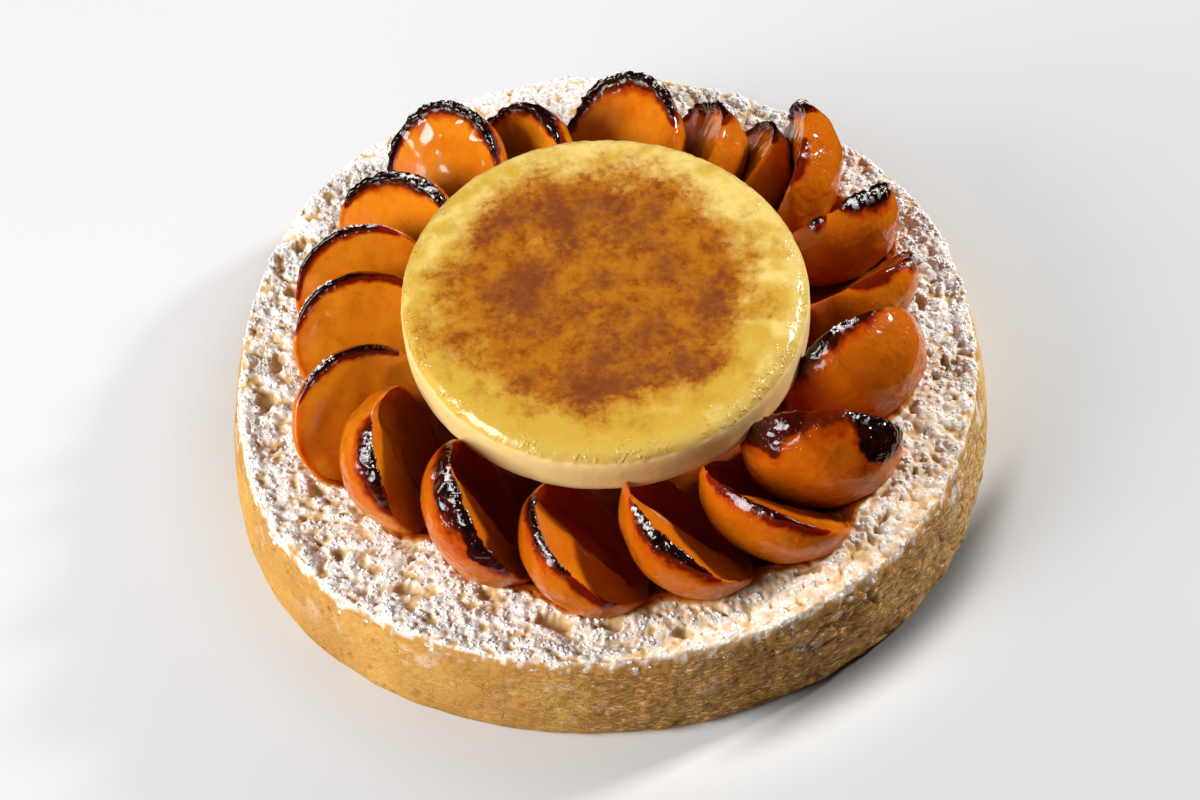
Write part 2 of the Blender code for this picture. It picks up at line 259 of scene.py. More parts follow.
class Finish:
    """A material being made: its nodes, and the shader that they feed."""

    def __init__(self, name, **fixed):
        self.material = bpy.data.materials.new(name)
        self.material.use_nodes = True
        self.tree = self.material.node_tree
        self.shader = self.tree.nodes["Principled BSDF"]
        self.surface(**fixed)
        self.place = self.node("ShaderNodeTexCoord", {}, {}, "Object")

    def node(self, kind, settings, inputs, output=0):
        """One node: its settings first, then the values or links of its sockets."""
        node = self.tree.nodes.new(kind)
        for name, value in settings.items():
            setattr(node, name, value)
        for name, value in inputs.items():
            self.feed(node.inputs[name], value)
        return Socket(self, node.outputs[output])

    def feed(self, socket, value):
        if isinstance(value, Socket):
            self.tree.links.new(value.output, socket)
        elif socket.type == "RGBA":
            socket.default_value = (*value, 1.0)
        else:
            socket.default_value = value

    def surface(self, **inputs):
        """Feed the shader's sockets, given by their labels in small letters."""
        for name, value in inputs.items():
            label = name.replace("_", " ").title().replace("Ior", "IOR")
            self.feed(self.shader.inputs[label], value)

    def noise(self, length, detail=2.0, roughness=0.5, distortion=0.0, place=None):
        """Clouds whose patches are one length apart."""
        inputs = {"Vector": place or self.place, "Scale": 1.0 / length, "Detail": detail,
                  "Roughness": roughness, "Distortion": distortion}
        return self.node("ShaderNodeTexNoise", {}, inputs)

    def cells(self, length):
        """Distance to the nearest of random seeds, one length apart."""
        return self.node("ShaderNodeTexVoronoi", {}, {"Vector": self.place, "Scale": 1.0 / length}, "Distance")

    def strokes(self, length, width, place=None):
        """Thin wavy lines, as crevices in a crust, about one length apart."""
        away = abs(self.noise(length, detail=1.5, distortion=0.7, place=place) - 0.5)
        return 1.0 - self.step(away, 0.0, width)

    def measured(self, operation, other, output=0):
        """The surface's place, set against another vector."""
        return self.node("ShaderNodeVectorMath", {"operation": operation}, {0: self.place, 1: other}, output)

    def stretched(self, *factors):
        return self.measured("MULTIPLY", factors)

    def streaks(self):
        """Streaks that run round the wall."""
        return self.noise(0.0019, detail=4.0, roughness=0.7, place=self.stretched(1.0, 1.0, 2.8))

    def mark(self, name):
        return self.node("ShaderNodeAttribute", {"attribute_name": name}, {}, "Fac")

    def step(self, value, low, high):
        """0 below low, 1 above high, and smooth between them."""
        settings = {"interpolation_type": "SMOOTHSTEP"}
        return self.node("ShaderNodeMapRange", settings, {"Value": value, "From Min": low, "From Max": high})

    def mix(self, share, first, second):
        """A colour between two."""
        settings = {"data_type": "RGBA", "clamp_factor": True}
        return self.node("ShaderNodeMix", settings, {0: share, 6: first, 7: second}, 2)

    def layered(self, colour, *layers):
        """A colour with others laid over it in turn, each as (share, colour)."""
        for share, above in layers:
            colour = self.mix(share, colour, above)
        return colour

    def bump(self, height, distance, strength=1.0):
        return self.node("ShaderNodeBump", {}, {"Height": height, "Distance": distance, "Strength": strength})


def put_on(piece, slot, finish, *nodes):
    """Give a piece its finish and its place in the tart."""
    piece.data.materials.clear()
    piece.data.materials.append(finish.material)
    piece.data.shade_smooth()
    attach(piece, "root")
    if nodes:
        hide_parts(*nodes)


def crust_profile():
    profile = [(CRUST_RADIUS * radius, CRUST_HEIGHT * height) for radius, height in CRUST_OUTSIDE]
    profile.append((CRUST_LIP_INSIDE, CRUST_HEIGHT - 0.0006))
    profile.append((CRUST_INSIDE_FOOT, CRUST_BASE))
    return profile


def rough_side(points):
    """How rough the baking left each side of the tart, 0 to 1."""
    return blend(0.48, 0.97, np.cos(angles_of(points) - math.radians(ROUGH_SIDE)))


def plates(values, steps):
    """Turn smooth values into flat plates with short slopes between them."""
    scaled = values * steps
    return (np.floor(scaled) + blend(0.0, 0.35, scaled - np.floor(scaled))) / steps


def bake_crust(crust):
    """Give the turned wall its lobes, crags, crevices and flakes, and the lumps of sugar on its lip."""
    points = points_of(crust)
    angles = angles_of(points)
    ring = lobes(angles)
    height = points[:, 2] / CRUST_HEIGHT
    points[:, :2] *= ring[:, None]
    normals = normals_of(crust)
    rough = 0.14 + 0.86 * rough_side(points)
    wall = blend(0.0, 0.10, height) * (radius_of(points) > CRUST_FACE * ring)
    warped = points + 0.0021 * drift(points, 0.0065, 21, 22, 23)
    strokes = waviness(warped, (0.0048, 0.0048, 0.0027), 24)
    crevices = (1.0 - blend(0.0, 0.15, np.abs(strokes))) * blend(-0.15, 0.35, waviness(points, 0.008, 25))
    near, next_near = nearest(warped, (0.0120, 0.0120, 0.0085), 26)
    cracks = (1.0 - blend(0.01, 0.13, next_near - near)) * blend(-0.2, 0.3, waviness(points, 0.015, 27))
    cracks *= rough
    flakes = plates(waviness(warped, (0.0105, 0.0105, 0.0058), 28), 3.0)
    layers = waviness(warped, (0.0090, 0.0090, 0.0022), 37)
    pits = blend(0.30, 0.12, nearest(points, 0.0042, 39)[0]) * blend(-0.1, 0.4, waviness(points, 0.010, 40))
    relief = SWELLS * waviness(points, 0.0085, 29) + GRAIN * rough * waviness(points, 0.0030, 30)
    relief += FLAKES * rough ** 1.5 * flakes
    relief += rough * (LAYERS * layers + FINE_LAYERS * waviness(points, 0.0018, 38))
    relief -= PITS * pits
    relief -= CREVICES * (0.35 + 0.65 * rough) * crevices + CRACKS * rough * cracks
    points += normals * (wall * relief)[:, None]
    lumps = crumb_lumps(points)
    bare = blend(0.1, 0.6, rippled(points, (1.0, 0.012, 31), (0.25, 0.003, 32)))
    lip = blend(LIP_FOOT, 0.99, height)
    points[:, 2] += lip * (LIP_LUMPS * (lumps - 0.5) * (1.0 - 0.5 * bare) - 0.0003)
    under_crumb = blend(LIP_FREE, LIP_SUNK, radius_of(points) / ring) * (height > LIP_FOOT)
    points[:, 2] -= LIP_SINK * under_crumb
    set_points(crust, points)
    ragged = rippled(points, (0.07, 0.0045, 33), (0.05, 0.0016, 36))
    sugar = blend(0.90, 0.98, height + ragged) * blend(0.20, 0.50, lumps) * (1.0 - 0.75 * bare)
    smudge = blend(0.30, 0.75, rippled(points, (1.0, 0.014, 34), (0.6, 0.0032, 35)))
    smudge *= blend(0.30, 0.95, height) * (0.25 + 0.35 * rough)
    # Painted light: the wall is painted paler on the side that the back-right lamp lights.
    pale = blend(0.55, 0.98, np.cos(angles - math.radians(LAMP_SIDE)))
    cracked = np.maximum(np.maximum(cracks, 0.7 * pits), 0.6 * crevices * (0.4 + 0.6 * rough))
    marked(crust, sugar=np.maximum(sugar, smudge * wall), pale=pale, cracks=wall * cracked,
           lip=blend(0.80, 0.97, height), rough=wall * rough)


def crust_finish():
    """Golden, matt and finely grained, dark in its crevices, brown on the lip, white where sugar lies."""
    finish = Finish("baked_crust", subsurface_weight=0.08, subsurface_scale=0.003,
                    subsurface_radius=(1.0, 0.4, 0.12), specular_ior_level=0.3)
    step, noise, mark = finish.step, finish.noise, finish.mark
    grain = noise(0.0013, detail=4.0, roughness=0.65)
    flat = finish.stretched(1.0, 1.0, 1.7)
    strokes = finish.strokes(0.0042, 0.030, flat) * step(noise(0.006), 0.50, 0.66)
    strokes = strokes + finish.strokes(0.0021, 0.034, flat) * step(noise(0.0045), 0.54, 0.70) * 0.7
    rusty = step(noise(0.0034, detail=4.0, roughness=0.7, place=flat), 0.52, 0.68)
    rough = mark("rough")
    streaks = finish.streaks()
    powder = mark("sugar") * (0.5 + step(noise(0.0009, detail=3.0), 0.38, 0.58) * 0.7)
    colour = finish.layered(
        CRUST_GOLD,
        (step(noise(0.024, detail=3.0), 0.35, 0.68), CRUST_PALE),
        # Painted light on the lamp-lit side.
        (mark("pale") * 0.75, CRUST_PAINTED_LIGHT),
        (step(grain, 0.54, 0.80) * 0.4, CRUST_BROWN),
        (mark("lip") * step(noise(0.006), 0.35, 0.7) * 0.8, CRUST_BROWN),
        (rusty * (rough * 0.5 + 0.12), CRUST_RUST),
        (rough * 0.36, CRUST_BROWN),
        (mark("cracks") * 0.75 + strokes * 0.28, CRACK_BROWN),
        (step(streaks, 0.50, 0.68) * (rough * 0.6 + 0.1), CRACK_BROWN),
        (step(1.0 - streaks, 0.60, 0.68) * rough * 0.6, SUGAR_WHITE),
        (powder, SUGAR_WHITE))
    relief = grain * 0.6 + noise(0.0036, detail=4.0) - strokes * 0.4
    relief = relief - step(streaks, 0.45, 0.68) * rough * 0.8
    finish.surface(base_color=colour, roughness=0.74 + powder * 0.2, normal=finish.bump(relief, 0.0005))
    return finish


crust = turned("shortcrust", CRUST_SIDES, crust_profile())
refined(crust, 3)
bake_crust(crust)
put_on(crust, "baked_crust", crust_finish(), "crust")


# ---- The almond filling --------------------------------------------------------------------------
# A soft almond sponge baked in the case. Round the fruit its torn, porous crumb shows under icing sugar,
# and the fruit lies in a lower bed that dark juice has soaked. In the middle it carries the disc.

CRUMB_HEIGHT = 0.0292
# The crumb's relief reaches this far down its sides.
CRUMB_DEPTH = 0.0045
CRUMB_BUMPS = ((0.0008, 0.008, 41), (0.0008, 0.018, 42))
LUMP_HEIGHT = 0.0027
BED_HEIGHT = 0.0215
FILLING_SIDES = 165
FILLING_FOOT = 0.0963
# The turned body's own rings: the wall, the crumb's inner edge, the bank's foot and the bed's inner edge.
WALL_RING, CRUMB_RING, BANK_RING, BED_RING = 0.0930, 0.0780, 0.0685, 0.052
CRUMB_BANDS = 5
MIDDLE_FOOT, MIDDLE_EDGE, MIDDLE_TOP = 0.036, 0.029, 0.0418
BANK_WIDTH = 0.0091
# The bank goes on this far past the fruit's edge. One of its rings is at this radius and share of its height.
BANK_LIP = 0.0005
BANK_MIDDLE, BANK_SHARE = 0.0742, 0.376
# Where the fruit's edge is looked for: from, to, step.
FRUIT_SEARCH = (0.070, 0.090, 0.0004)
# The sugared crumb is torn over the lip as far as this, before the lobes.
LIP_COVERED = 0.0986
# Larger holes torn in the crumb: (angle in degrees, distance from the middle, length, width, depth).
HOLES = ((184, 0.0885, 0.0048, 0.0034, 0.0036), (232, 0.0870, 0.0034, 0.0026, 0.0026),
         (258, 0.0838, 0.0060, 0.0036, 0.0032), (303, 0.0865, 0.0036, 0.0026, 0.0030),
         (206, 0.0840, 0.0030, 0.0026, 0.0030), (150, 0.0915, 0.0028, 0.0026, 0.0028),
         (176, 0.0855, 0.0036, 0.0022, 0.0030), (219, 0.0905, 0.0026, 0.0020, 0.0026),
         (245, 0.0800, 0.0030, 0.0022, 0.0030), (268, 0.0835, 0.0052, 0.0030, 0.0026),
         (279, 0.0895, 0.0030, 0.0018, 0.0022), (318, 0.0900, 0.0034, 0.0016, 0.0024),
         (322, 0.0850, 0.0022, 0.0018, 0.0020), (352, 0.0895, 0.0030, 0.0014, 0.0022),
         (5, 0.0850, 0.0024, 0.0016, 0.0020), (160, 0.0870, 0.0026, 0.0020, 0.0024))
PORES = 170
PORE_FROM, PORE_BAND = 0.076, 0.0165
CRUMB_CREAM = (0.70, 0.52, 0.27)
CRUMB_TAN = (0.62, 0.375, 0.140)
CRUMB_GOLD = (0.54, 0.245, 0.050)
CRUMB_BROWN = (0.30, 0.115, 0.026)
JUICE_BROWN = (0.36, 0.055, 0.002)
JUICE_AMBER = (0.46, 0.170, 0.022)


class Half:
    """Where one apricot half stands. angle: anticlockwise from +X. reach: middle of its rim from the tart's
    middle. height: middle of its rim above the table. lean: how far the rim tips up. turn: how far the
    hollow faces inwards. edge: where the rim swells, as (place round the rim, how far)."""

    def __init__(self, angle, reach, height, lean, turn, radius, *edge):
        self.radius, self.edge = radius, edge
        angle, lean, turn = (math.radians(value) for value in (angle, lean, turn))
        outwards = np.array((math.cos(angle), math.sin(angle), 0.0))
        along = np.array((-math.sin(angle), math.cos(angle), 0.0))
        upwards = np.array((0.0, 0.0, 1.0))
        level = math.cos(turn) * along - math.sin(turn) * outwards
        self.centre = reach * outwards + height * upwards
        self.opening = math.cos(lean) * level + math.sin(lean) * upwards
        self.side = np.cross(level, upwards)
        self.up = np.cross(self.side, self.opening)

    def measured(self, points):
        """Each point's angle round the rim, distance from its axis, and depth behind its plane."""
        offset = points - self.centre
        across, rise = offset @ self.side, offset @ self.up
        return np.arctan2(rise, across), np.hypot(across, rise), -(offset @ self.opening)

    def swelling(self, angles):
        """How far the rim stands out past its circle."""
        total = np.zeros(len(angles))
        for place, push in self.edge:
            total += push * np.exp(-((round_from(place, np.degrees(angles)) / EDGE_REACH) ** 2))
        return total


def round_from(place, degrees):
    """How far round from a place angles are, -180 to 180 degrees."""
    return (degrees - place + 180.0) % 360.0 - 180.0


EDGE_REACH = 30.0
HALF_DEPTH = 0.78
HALVES = (Half(8, 0.0652, 0.0373, 38, 18, 0.0207),
          Half(26, 0.0702, 0.0383, 31, -2, 0.0214, (80, 0.0028), (20, -0.0024)),
          Half(43, 0.0701, 0.0385, 22, 32, 0.0212),
          Half(54, 0.0655, 0.0345, 38, 8, 0.0194),
          Half(66, 0.0655, 0.0353, 36, 8, 0.0204, (32, -0.0030)),
          Half(82, 0.0660, 0.0368, 47, 30, 0.0206),
          Half(107, 0.0625, 0.0350, 32, 12, 0.0196),
          Half(124, 0.0704, 0.0385, 40, 2, 0.0203),
          Half(144, 0.0642, 0.0360, 31, 0, 0.0197),
          Half(162, 0.0632, 0.0365, 35, 16, 0.0204),
          Half(176, 0.0615, 0.0364, 35, 5, 0.0199),
          Half(199, 0.0654, 0.0371, 35, 7, 0.0200),
          Half(214, 0.0632, 0.0383, 20, 46, 0.0198),
          Half(240, 0.0622, 0.0386, 28, 40, 0.0208),
          Half(264, 0.0660, 0.0374, 44, 20, 0.0202),
          Half(286, 0.0662, 0.0376, 43, 12, 0.0202),
          Half(306, 0.0690, 0.0368, 43, 15, 0.0206),
          Half(323, 0.0666, 0.0374, 16, 32, 0.0215),
          Half(346, 0.0658, 0.0372, 4, 40, 0.0207))


def fruit_edges():
    """For each whole degree, how far from the middle the fruit stands out of the crumb."""
    degrees = np.radians(np.arange(360.0))
    ring = np.stack([np.cos(degrees), np.sin(degrees), np.zeros(360)], axis=1)
    edges = np.full(360, FRUIT_SEARCH[0])
    for radius in np.arange(*FRUIT_SEARCH):
        points = radius * ring + (0.0, 0.0, CRUMB_HEIGHT)
        for half in HALVES:
            _, across, depth = half.measured(points)
            within = (depth > 0.0) & (np.hypot(across / half.radius, depth / half.radius / HALF_DEPTH) < 1.0)
            edges[within] = radius
    # Juice fills the notches between the halves, so the crumb starts past them.
    edges = np.max([np.roll(edges, step) for step in range(-3, 4)], axis=0) - 0.0004
    window = np.hanning(11) / np.hanning(11).sum()
    return np.convolve(np.concatenate([edges[-5:], edges, edges[:5]]), window, mode="valid")


def filling_profile():
    bands = np.linspace(WALL_RING, CRUMB_RING, CRUMB_BANDS + 1)
    profile = [(FILLING_FOOT, CRUST_BASE + 0.0003), (WALL_RING, CRUMB_HEIGHT - 0.0004)]
    profile += [(radius, CRUMB_HEIGHT) for radius in bands[1:]]
    profile.append((BANK_MIDDLE, BED_HEIGHT + BANK_SHARE * (CRUMB_HEIGHT - BED_HEIGHT)))
    profile += [(radius, BED_HEIGHT) for radius in (BANK_RING, BED_RING, MIDDLE_FOOT)]
    return profile + [(MIDDLE_EDGE, MIDDLE_TOP), (0.004, MIDDLE_TOP)]


def cut_finer(piece, chosen, cuts):
    """Subdivide the faces whose middles chosen picks."""
    centres = vectors_of(piece.data.polygons, "center")
    bpy.ops.object.mode_set(mode="EDIT")
    bpy.ops.mesh.select_mode(type="FACE")
    bpy.ops.mesh.select_all(action="DESELECT")
    bpy.ops.object.mode_set(mode="OBJECT")
    piece.data.polygons.foreach_set("select", chosen(centres))
    bpy.ops.object.mode_set(mode="EDIT")
    bpy.ops.mesh.subdivide(number_cuts=cuts)
    bpy.ops.object.mode_set(mode="OBJECT")


def reach_of(points, edges):
    """The fruit's edge and the crumb's outer edge, as distances from the middle, at each point's angle."""
    angles = angles_of(points)
    edge = np.interp(np.degrees(angles) % 360.0, np.arange(361.0), np.append(edges, edges[0]))
    round_edge = LIP_COVERED * np.stack([np.cos(angles), np.sin(angles), np.zeros(len(angles))], axis=1)
    return edge, LIP_COVERED * lobes(angles) + 0.0005 * waviness(round_edge, 0.0060, 55)


def torn(points, away, seed):
    """How deep in the crumb's holes and pores each point lies, in metres."""
    warp = 0.0011 * drift(points, 0.0035, seed, seed + 1)
    warp += 0.0006 * drift(points, 0.0014, seed + 2, seed + 3)
    places = points[:, :2] + warp
    depth = np.zeros(len(points))
    for angle, distance, length, width, deep in HOLES:
        turn = math.radians(angle)
        offset = places - distance * np.array((math.cos(turn), math.sin(turn)))
        along = offset @ (-math.sin(turn), math.cos(turn)) / length
        across = offset @ (math.cos(turn), math.sin(turn)) / width
        depth = np.maximum(depth, deep * (1.0 - blend(0.22, 1.0, np.hypot(along, across))))
    draws = np.random.default_rng(seed)
    for _ in range(PORES):
        turn, share, size, slant = draws.random(4)
        turn *= 2.0 * math.pi
        distance = (PORE_FROM + PORE_BAND * share) * lobes(np.array([turn]))[0]
        radius = 0.0006 + 0.0013 * size ** 3
        offset = (places - distance * np.array((math.cos(turn), math.sin(turn)))) / radius
        slope = math.pi * slant
        along = offset @ (math.cos(slope), math.sin(slope))
        across = offset @ (-math.sin(slope), math.cos(slope)) * 1.6
        depth = np.maximum(depth, 1.3 * radius * (1.0 - blend(0.2, 1.0, np.hypot(along, across))))
    return depth * blend(0.0, 0.0012, away)


def tear_crumb(filling):
    """Move the turned rings to the fruit's edge and the wall, and raise and mark the crumb's relief."""
    points = points_of(filling)
    edge, wall = reach_of(points, fruit_edges())
    radius = radius_of(points)
    outer = np.interp(radius, (CRUMB_RING, WALL_RING), (0.0, 1.0))
    bank = np.interp(radius, (BANK_RING, CRUMB_RING), (0.0, 1.0))
    bed = np.interp(radius, (BED_RING, BANK_RING), (0.0, 1.0))
    moved = np.minimum(radius, BED_RING) + bed * (edge - BANK_WIDTH - BED_RING)
    moved += bank * (BANK_WIDTH + BANK_LIP) + (1.0 - (1.0 - outer) ** 1.35) * (wall - edge - BANK_LIP)
    # Syrup fills the bank, so that it falls slowly at the crumb and steeply under the fruit.
    filled = 1.0 - (1.0 - bank) ** 2 - np.interp(bank, (0.0, 0.6, 1.0), (0.0, BANK_SHARE, 1.0))
    points[:, 2] += np.where(radius > BANK_RING, filled * (CRUMB_HEIGHT - BED_HEIGHT), 0.0) * (outer == 0.0)
    side = points[:, 2] < CRUMB_HEIGHT - CRUMB_DEPTH
    moved = np.where(side & (radius > WALL_RING - 0.0005), radius * wall / LIP_COVERED, moved)
    points[:, :2] *= (moved / radius)[:, None]
    top = blend(0.2, 1.0, bank) * (points[:, 2] > CRUMB_HEIGHT - CRUMB_DEPTH)
    flat = points * (1.0, 1.0, 0.0) + (0.0, 0.0, CRUMB_HEIGHT)
    lumps = crumb_lumps(flat)
    deep = torn(flat, moved - edge, 51)
    open_air = blend(0.0, 0.0010, deep)
    over_lip = blend(0.0018, 0.0, wall - moved)
    lumpy = LUMP_HEIGHT * (lumps - 0.55) * (1.0 - 0.6 * open_air)
    points[:, 2] += top * (rippled(flat, *CRUMB_BUMPS) + lumpy - deep) * (1.0 - 0.9 * over_lip)
    points[:, 2] += top * (0.0007 * blend(0.0070, 0.0030, wall - moved) - 0.0042 * over_lip ** 1.5)
    rough = rough_side(points)
    crags = rippled(points, (0.0006, (0.0040, 0.0040, 0.0022), 58), (0.0004, 0.0016, 59))
    angles = angles_of(points)
    outwards = np.stack([np.cos(angles), np.sin(angles), np.full(len(points), 0.5)], axis=1)
    points += (top * over_lip * (0.25 + 0.75 * rough) * crags)[:, None] * outwards
    ragged = rippled(points, (1.0, 0.0030, 56), (0.6, 0.0013, 57))
    set_points(filling, points)
    right = blend(-0.2, 0.7, flat[:, 0] / moved)
    powder = blend(0.49, 0.65, lumps + 0.02 * right + 0.12 * waviness(flat, 0.006, 52)) * (1.0 - 0.9 * open_air)
    powder *= blend(0.25, 0.75, normals_of(filling)[:, 2])
    powder *= 1.0 - 0.85 * blend(0.25, 0.7, waviness(flat, 0.008, 53)) * blend(0.9, 0.5, lumps)
    # Less sugar on the rough front right: partly the crumb showing through, partly painted shade where the
    # light falls off.
    powder *= 1.0 - rough * (0.36 + 0.42 * blend(-0.15, 0.45, waviness(flat, 0.0026, 60)))
    hem = blend(0.1, 0.6, 0.75 - 1.15 * over_lip + 0.8 * ragged) * blend(0.0, 0.25, over_lip)
    powder = np.maximum(powder, (0.9 - 0.3 * rough) * hem)
    juice = blend(0.0007, -0.0018, moved - edge + 0.0009 * waviness(flat, 0.004, 54))
    # Pores and the low creases between lumps, where the crumb shows tan and is painted darker as shade.
    pores = np.maximum(open_air, blend(0.50, 0.2, lumps))
    marked(filling, sugar=top * powder * (1.0 - juice), pores=top * pores,
           holes=top * blend(0.0014, 0.0030, deep), juice=np.where(top > 0.0, juice, 1.0),
           rim=blend(0.0022, 0.0006, wall - moved), rough=rough)


def crumb_finish():
    """Sugar powder over tan, open crumb, brown with painted shade in pores and creases, cream where a hole is
    torn, wet and dark where juice has run.
    """
    finish = Finish("glazed_crumb", subsurface_weight=0.30, subsurface_scale=0.0012,
                    subsurface_radius=(1.0, 0.75, 0.5), specular_ior_level=0.3, coat_roughness=0.08,
                    coat_ior=1.3)
    step, noise, mark = finish.step, finish.noise, finish.mark
    grain = noise(0.0008, detail=4.0, roughness=0.7)
    crisp = step(noise(0.0023, detail=3.0, roughness=0.7), 0.52, 0.64)
    rough, pores, juice = mark("rough"), mark("pores"), mark("juice")
    crusty = finish.layered(
        CRUST_GOLD,
        (rough * 0.36, CRUST_BROWN),
        (step(finish.streaks(), 0.50, 0.68) * rough * 0.6, CRACK_BROWN))
    soaked = finish.mix(step(juice, 0.60, 1.0), JUICE_AMBER, JUICE_BROWN)
    colour = finish.layered(
        CRUMB_TAN,
        (step(noise(0.006, detail=3.0) + grain * 0.4, 0.55, 0.9), CRUMB_CREAM),
        (crisp * 0.55, CRUMB_GOLD),
        (pores * 0.55, CRUMB_TAN),
        # Painted shade: pores and creases painted darker brown, partly the crumb's own brown.
        (pores * step(grain, 0.45, 0.65) * 0.6, CRUMB_BROWN),
        (mark("holes") * 0.75, CRUMB_CREAM),
        (mark("rim"), crusty),
        (mark("sugar") * (0.52 + step(grain, 0.38, 0.54) * 0.62), SUGAR_WHITE),
        (step(juice, 0.0, 0.5), soaked))
    relief = grain * 0.7 + noise(0.0022, detail=3.0)
    finish.surface(base_color=colour, roughness=0.85 - juice * 0.62, coat_weight=juice * 0.5,
                   normal=finish.bump(relief, 0.00025, 0.8))
    return finish


def on_crumb(centres):
    radius = radius_of(centres)
    return (radius > 0.0745) & (centres[:, 2] > BED_HEIGHT + 0.0025) & (radius < WALL_RING + 0.001)


filling = turned("almond_crumb", FILLING_SIDES, filling_profile())
refined(filling, 1)
cut_finer(filling, on_crumb, 3)
tear_crumb(filling)
put_on(filling, "almond_filling", crumb_finish(), "almond_filling")


# ---- The apricots --------------------------------------------------------------------------------
# Ripe apricots, halved and stoned, roasted until the rims catch, then stood on edge in a ring, each in
# the hollow of the one before. Syrup leaves them glossy; the charred rims curl and puff up.

MODEL_RADIUS = 0.020
HALF_SIDES = 24
SKIN_BANDS = (82.0, 66.0, 50.0, 34.0, 17.0, 0.0)
# The rim, the broad cut face and the stone hollow: (share of the radius, height over the rim's plane).
HOLLOW = ((0.95, 0.0009), (0.87, 0.0000), (0.78, -0.0006), (0.70, -0.0013), (0.675, -0.0017),
          (0.65, -0.0040), (0.60, -0.0056), (0.46, -0.0070), (0.24, -0.0077), (0.06, -0.0080))
# The cut face ends at this share of the radius, and a full hollow is this deep.
CUT_EDGE = 0.93
HOLLOW_DEPTH = 0.0078
# The body that presses a neighbour back is this much larger, and filled up to this height over the rim.
PRESS_MARGIN, PRESS_TOP = 0.0007, 0.0012
FRUIT_VOXEL = 0.00052
# For each half: how red its stone hollow is, with painted shade in it, 0 to 1 (set high where the hollow lies
# in shade, as at the front under the disc), how deep the hollow is against a full one, and which way round the
# rim its middle lies, in degrees.
HOLLOWS = ((0.8, 1.0, 180), (0.7, 1.0, 180), (0.7, 0.8, 180), (0.5, 0.6, 200), (0.5, 0.6, 200),
           (0.4, 0.6, 200), (0.3, 0.55, 210), (0.2, 0.4, 215), (0.2, 0.4, 215), (0.2, 0.35, 215),
           (0.35, 0.3, 215), (0.3, 0.35, 215), (0.4, 0.55, 195), (0.9, 0.8, 205), (1.0, 0.9, 218),
           (1.0, 0.9, 218), (1.0, 0.8, 208), (1.0, 1.0, 180), (1.0, 1.0, 180))
HOLLOW_SHIFT = 0.60
HOLLOW_SHRUNK = 0.50
# Hollows shallower than this have no step at their edge. The front halves' are torn open to the rim.
SOFT_HOLLOW = 0.65
TORN_OPEN = range(12, 17)
# The halves at the back whose cut faces have creased.
CREASED = range(2, 8)
CREASE_DEPTH = 0.0009
APRICOT_ORANGE = (0.56, 0.135, 0.003)
APRICOT_LIGHT = (0.62, 0.200, 0.007)
# The stone hollow's deep red, also darkened to paint the shade that falls in the hollows.
APRICOT_RED_AND_SHADE = (0.50, 0.022, 0.0015)
SKIN_AMBER = (0.36, 0.070, 0.002)
TOASTED_ORANGE = (0.40, 0.052, 0.0015)
TOASTED_RED = (0.13, 0.008, 0.0012)
CHAR_BROWN = (0.034, 0.003, 0.0015)
CHAR_BLACK = (0.006, 0.002, 0.0015)


class Burn:
    """A charred patch on a rim. start, end: degrees round the rim from its outer side. skin, cut: how far
    it reaches down the skin and onto the cut face, in millimetres. rise: how far it puffs up, in
    millimetres. tone: 1 is black, 0.5 dark red."""

    def __init__(self, start, end, skin, cut, rise, tone=1.0):
        self.middle, self.span = 0.5 * (start + end), 0.5 * (end - start)
        self.skin, self.cut, self.rise, self.tone = 0.001 * skin, 0.001 * cut, 0.001 * rise, tone


BURNS = ((Burn(-25, 65, 2.2, 0.7, 0.5), Burn(55, 105, 0.9, 0.4, 0.2)),
         (Burn(52, 98, 4.2, 2.0, 1.3), Burn(110, 124, 1.6, 1.0, 0.5)),
         (Burn(0, 62, 3.2, 2.0, 1.4), Burn(95, 135, 1.0, 0.6, 0.3)),
         (Burn(-20, 75, 2.2, 1.0, 0.6),),
         (Burn(-20, 85, 3.2, 1.2, 0.8),),
         (Burn(-35, 115, 5.5, 2.0, 1.0), Burn(-20, 100, 8.0, 4.5, 0.3, 0.55)),
         (Burn(-15, 118, 4.0, 1.6, 0.8), Burn(0, 100, 6.0, 3.0, 0.2, 0.5)),
         (Burn(-35, 135, 4.0, 1.5, 0.9), Burn(-20, 110, 6.0, 3.0, 0.2, 0.5)),
         (Burn(15, 125, 5.2, 1.6, 0.9), Burn(20, 120, 7.0, 3.0, 0.2, 0.5)),
         (Burn(5, 115, 1.4, 0.7, 0.4), Burn(25, 70, 2.4, 1.0, 0.5)),
         (Burn(28, 130, 1.5, 0.7, 0.4), Burn(15, 75, 4.5, 0.6, 0.3, 0.7)),
         (Burn(42, 135, 1.6, 0.6, 0.35), Burn(60, 130, 3.0, 1.0, 0.2, 0.5)),
         (Burn(8, 88, 3.8, 0.6, 0.7, 0.85), Burn(30, 75, 2.2, 0.5, 0.4)),
         (Burn(8, 128, 6.5, 0.8, 0.8, 0.85), Burn(25, 100, 4.2, 0.6, 0.5)),
         (Burn(42, 125, 2.6, 0.8, 0.6), Burn(0, 50, 0.7, 0.4, 0.2)),
         (Burn(18, 112, 3.2, 0.9, 0.7), Burn(40, 105, 4.6, 1.4, 0.2, 0.55)),
         (Burn(25, 132, 1.6, 0.6, 0.5),),
         (Burn(14, 70, 11.0, 0.6, 0.5), Burn(58, 120, 8.0, 0.8, 0.3, 0.6), Burn(100, 158, 9.0, 0.8, 0.5, 0.72)),
         (Burn(70, 165, 4.2, 1.0, 0.5, 0.8), Burn(85, 150, 2.4, 0.6, 0.4)))
